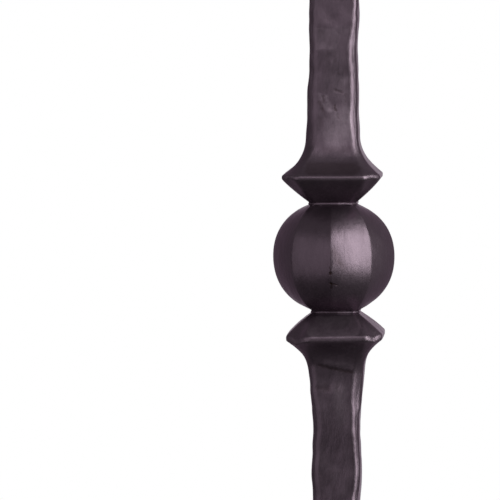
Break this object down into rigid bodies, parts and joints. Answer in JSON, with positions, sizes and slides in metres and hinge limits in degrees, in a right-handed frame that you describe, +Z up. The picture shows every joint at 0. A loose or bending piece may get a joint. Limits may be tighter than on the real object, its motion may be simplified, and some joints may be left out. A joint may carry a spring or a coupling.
{
  "type": "iron stair baluster",
  "caption": "Upright hammered square iron bar for a stair railing, with gored ball knuckles between flared four-sided collars, fixed at its square foot and head.",
  "frame": {"origin": "middle of the square foot", "axes": "+Z up along the bar from foot to head, front face towards -Y"},
  "size_m": [0.036, 0.036, 1.1176],
  "materials": {
    "coated_iron": "satin"
  },
  "bodies": {
    "root": {"baluster": "coated_iron"}
  },
  "joints": []
}
